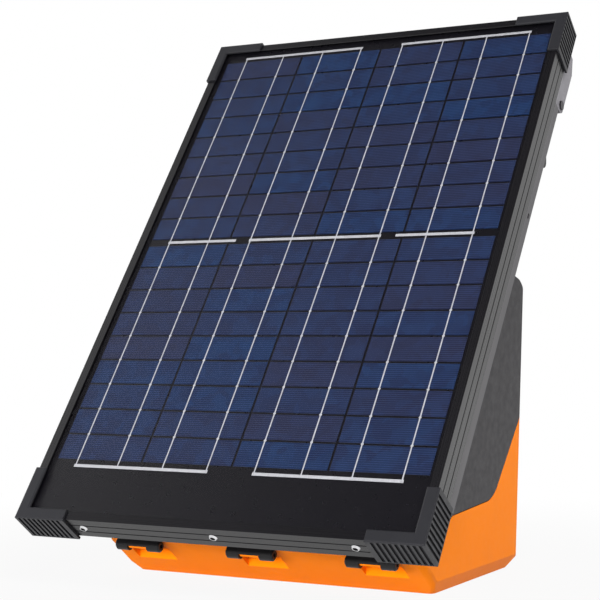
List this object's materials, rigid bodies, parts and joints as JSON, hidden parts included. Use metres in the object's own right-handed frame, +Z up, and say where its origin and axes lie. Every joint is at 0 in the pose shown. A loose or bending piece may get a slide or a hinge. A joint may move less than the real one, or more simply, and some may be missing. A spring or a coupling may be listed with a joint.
{
  "type": "solar fence energizer",
  "caption": "Portable electric fence energizer: a tilted framed solar panel on a hinged grey housing over an orange battery tub, with a swing handle and fence and earth terminals.",
  "frame": {"origin": "on the ground under the middle of the object's box", "axes": "+X to the right seen from the panel's side, +Y to the back, +Z up"},
  "size_m": [0.3436, 0.333, 0.4674],
  "materials": {
    "panel_glass": "smooth tempered cover glass",
    "solar_cell": "dark blue polycrystalline silicon",
    "tinned_ribbon": "tinned copper",
    "black_sheet": "black back sheet",
    "frame_aluminium": "black anodised extrusion",
    "rail_aluminium": "dark grey coated channel",
    "guard_plastic": "fine moulded grain",
    "grey_plastic": "fine moulded grain",
    "orange_plastic": "fine moulded grain, slight sheen",
    "ear_plastic": "moulded grain",
    "black_plastic": "moulded",
    "steel": "zinc plated",
    "terminal_brass": "turned",
    "battery_case": "moulded",
    "board_laminate": "solder mask",
    "transformer_core": "varnished",
    "capacitor_sleeve": "shrink sleeve",
    "light_lens": "clear tinted lens",
    "button_red": "moulded",
    "knob_red": "moulded",
    "knob_green": "moulded",
    "seal_rubber": "soft foam rubber",
    "grip_rubber": "soft touch"
  },
  "bodies": {
    "base": {"base_tub": "orange_plastic", "hinge_pins": "steel", "battery": "battery_case", "battery_terminals": "terminal_brass", "battery_strap": "steel", "strap_screws": "steel", "lid_seal": "seal_rubber"},
    "lid": {"panel_glass": "panel_glass", "solar_cells": "solar_cell", "cell_ribbons": "tinned_ribbon", "backsheet": "black_sheet", "frame_rail_left": "frame_aluminium", "frame_rail_right": "frame_aluminium", "frame_rail_top": "frame_aluminium", "frame_rail_bottom": "frame_aluminium", "corner_guard_lower_left": "guard_plastic", "corner_guard_lower_right": "guard_plastic", "corner_guard_upper_left": "guard_plastic", "corner_guard_upper_right": "guard_plastic", "bottom_rivets": "steel", "panel_rail_left": "rail_aluminium", "panel_rail_right": "rail_aluminium", "rail_rivets": "steel", "junction_box": "black_plastic", "lid_housing": "grey_plastic", "housing_screws": "steel", "hinge_clip_left": "black_plastic", "hinge_clip_middle": "black_plastic", "hinge_clip_right": "black_plastic", "clip_screws": "steel", "handle_ear_left": "ear_plastic", "handle_ear_right": "ear_plastic", "ear_screws": "steel", "handle_pins": "steel", "circuit_board": "board_laminate", "board_screws": "steel", "pulse_transformer": "transformer_core", "storage_capacitor": "capacitor_sleeve", "switch_body": "black_plastic", "button_bezel": "black_plastic", "status_light": "light_lens", "terminal_bases": "black_plastic", "terminal_nuts": "terminal_brass", "fence_stud": "terminal_brass", "earth_stud": "terminal_brass"},
    "handle": {"carry_handle": "black_plastic", "handle_grip": "grip_rubber"},
    "button": {"power_button": "button_red"},
    "fence_terminal_knob": {"fence_knob": "knob_red"},
    "earth_terminal_knob": {"earth_knob": "knob_green"}
  },
  "joints": [
    {"name": "lid_hinge", "type": "hinge", "parent": "base", "child": "lid", "pos_m": [0, -0.09927, 0.027], "axis": [1, 0, 0], "range_deg": [0, 36]},
    {"name": "handle_swing", "type": "hinge", "parent": "lid", "child": "handle", "pos_m": [0, 0.13404, 0.38663], "axis": [1, 0, 0], "range_deg": [-25, 130]},
    {"name": "power_button_press", "type": "slide", "parent": "lid", "child": "button", "axis": [0, -1, 0], "range_m": [0, 0.002], "stiffness_N_per_m": 400},
    {"name": "fence_knob_turn", "type": "hinge", "parent": "lid", "child": "fence_terminal_knob", "pos_m": [-0.072, 0.1288, 0.168], "axis": [0, 1, 0], "continuous": true},
    {"name": "earth_knob_turn", "type": "hinge", "parent": "lid", "child": "earth_terminal_knob", "pos_m": [0.072, 0.1288, 0.168], "axis": [0, 1, 0], "continuous": true}
  ]
}
